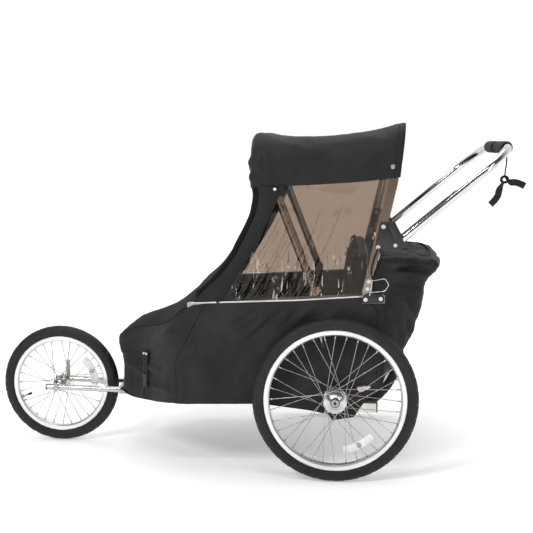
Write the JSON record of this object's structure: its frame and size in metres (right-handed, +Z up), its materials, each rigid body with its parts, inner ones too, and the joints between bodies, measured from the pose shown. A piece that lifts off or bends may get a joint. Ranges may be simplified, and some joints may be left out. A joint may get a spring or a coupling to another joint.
{
  "type": "child bicycle trailer",
  "caption": "Child trailer with a fabric cabin, a folding hooped canopy, spoked wheels, a front stroller wheel on fork arms and a tilting push handle.",
  "frame": {"origin": "on the ground at the centre of the trailer's footprint, measured without the wrist strap", "axes": "+X towards the push handle, so the trailer travels towards -X; +Y to its right; +Z up"},
  "size_m": [1.6679, 0.819, 1.0484],
  "materials": {
    "tyre": "matte rubber with a light tread",
    "rim": "bright silver",
    "spoke": "bright",
    "hub": "polished",
    "reflector": "clear moulded",
    "frame": "satin anodised",
    "steel": "zinc plated",
    "tube_silver": "bright anodised",
    "chrome_tube": "polished",
    "bolt": "bright zinc",
    "black_plastic": "fine grained",
    "red_plastic": "smooth",
    "foam": "closed-cell foam",
    "webbing": "woven webbing",
    "fabric": "coated polyester weave",
    "seat_fabric": "padded polyester",
    "board": "corrugated floor board",
    "piping": "retro-reflective",
    "window": "clear tinted vinyl",
    "mesh": "open mesh"
  },
  "bodies": {
    "chassis": {"side_rails": "frame", "lower_rails": "frame", "axle_receivers": "steel", "wheel_axles": "steel", "frame_struts": "frame", "fork_arms": "tube_silver", "fork_sleeves": "steel", "nose_frame": "frame", "front_axle": "steel", "tow_receiver": "tube_silver", "tow_receiver_cap": "black_plastic", "fold_brackets": "black_plastic", "frame_bolts": "bolt", "side_panel_left": "fabric", "side_panel_right": "fabric", "belly_panel": "fabric", "floor_board": "board", "nose_panel": "fabric", "piping": "piping", "seat_cushion": "seat_fabric", "seat_back": "seat_fabric", "harness_straps": "webbing", "harness_buckles": "black_plastic", "trunk_bag": "fabric", "window_left": "window", "window_right": "window", "front_cover": "fabric"},
    "wheel_left": {"wheel_left_tyre": "tyre", "wheel_left_rim": "rim", "wheel_left_spokes": "spoke", "wheel_left_hub": "hub", "wheel_left_reflector": "reflector"},
    "wheel_right": {"wheel_right_tyre": "tyre", "wheel_right_rim": "rim", "wheel_right_spokes": "spoke", "wheel_right_hub": "hub", "wheel_right_reflector": "reflector"},
    "front_wheel": {"front_wheel_tyre": "tyre", "front_wheel_rim": "rim", "front_wheel_spokes": "spoke", "front_wheel_hub": "hub", "front_wheel_reflector": "reflector"},
    "rear_hoop": {"rear_hoop": "tube_silver", "handle_brackets": "black_plastic", "bracket_bolts": "bolt", "canopy": "fabric", "rear_screen": "mesh"},
    "front_hoop": {"front_hoop": "tube_silver"},
    "handlebar": {"handlebar": "chrome_tube", "grips": "foam", "wrist_strap": "webbing", "wrist_strap_tail": "webbing"},
    "handle_lock_left": {"handle_lock_left": "red_plastic"},
    "handle_lock_right": {"handle_lock_right": "red_plastic"},
    "lock_pin_left": {"lock_pin_left": "bolt"},
    "lock_pin_right": {"lock_pin_right": "bolt"},
    "axle_button_left": {"axle_button_left": "black_plastic"},
    "axle_button_right": {"axle_button_right": "black_plastic"},
    "quick_release": {"quick_release_lever": "steel"},
    "trunk_lid": {"trunk_lid": "fabric"}
  },
  "joints": [
    {"name": "wheel_left_spin", "type": "hinge", "parent": "chassis", "child": "wheel_left", "pos_m": [0.29175, -0.3665, 0.2435], "axis": [0, 1, 0], "continuous": true},
    {"name": "wheel_right_spin", "type": "hinge", "parent": "chassis", "child": "wheel_right", "pos_m": [0.29175, 0.3665, 0.2435], "axis": [0, 1, 0], "continuous": true},
    {"name": "front_wheel_spin", "type": "hinge", "parent": "chassis", "child": "front_wheel", "pos_m": [-0.62175, 0, 0.193], "axis": [0, 1, 0], "continuous": true},
    {"name": "rear_hoop_fold", "type": "hinge", "parent": "chassis", "child": "rear_hoop", "pos_m": [0.38275, 0, 0.568], "axis": [0, -1, 0], "range_deg": [0, 95], "deforming": ["canopy", "rear_screen", "window_left", "window_right", "front_cover"]},
    {"name": "front_hoop_fold", "type": "hinge", "parent": "chassis", "child": "front_hoop", "pos_m": [0.22925, 0, 0.556], "axis": [0, -1, 0], "range_deg": [0, 65]},
    {"name": "handle_tilt", "type": "hinge", "parent": "rear_hoop", "child": "handlebar", "pos_m": [0.46175, 0, 0.696], "axis": [0, 1, 0], "range_deg": [-28, 28]},
    {"name": "handle_lock_left_pull", "type": "slide", "parent": "handlebar", "child": "handle_lock_left", "axis": [0, 1, 0], "range_m": [0, 0.008], "stiffness_N_per_m": 600},
    {"name": "lock_pin_left_pull", "type": "slide", "parent": "chassis", "child": "lock_pin_left", "axis": [0, -1, 0], "range_m": [0, 0.03]},
    {"name": "axle_button_left_press", "type": "slide", "parent": "chassis", "child": "axle_button_left", "axis": [0, 1, 0], "range_m": [0, 0.003], "stiffness_N_per_m": 600},
    {"name": "handle_lock_right_pull", "type": "slide", "parent": "handlebar", "child": "handle_lock_right", "axis": [0, -1, 0], "range_m": [0, 0.008], "stiffness_N_per_m": 600},
    {"name": "lock_pin_right_pull", "type": "slide", "parent": "chassis", "child": "lock_pin_right", "axis": [0, 1, 0], "range_m": [0, 0.03]},
    {"name": "axle_button_right_press", "type": "slide", "parent": "chassis", "child": "axle_button_right", "axis": [0, -1, 0], "range_m": [0, 0.003], "stiffness_N_per_m": 600},
    {"name": "quick_release_swing", "type": "hinge", "parent": "chassis", "child": "quick_release", "pos_m": [-0.62175, 0.0835, 0.193], "axis": [-1, 0, 0], "range_deg": [0, 90]},
    {"name": "trunk_lid_open", "type": "hinge", "parent": "chassis", "child": "trunk_lid", "pos_m": [0.44375, 0, 0.652], "axis": [0, -1, 0], "range_deg": [0, 75]}
  ],
  "couplings": [
    {"joint": "front_hoop_fold", "follows": "rear_hoop_fold", "ratio": 0.68}
  ]
}
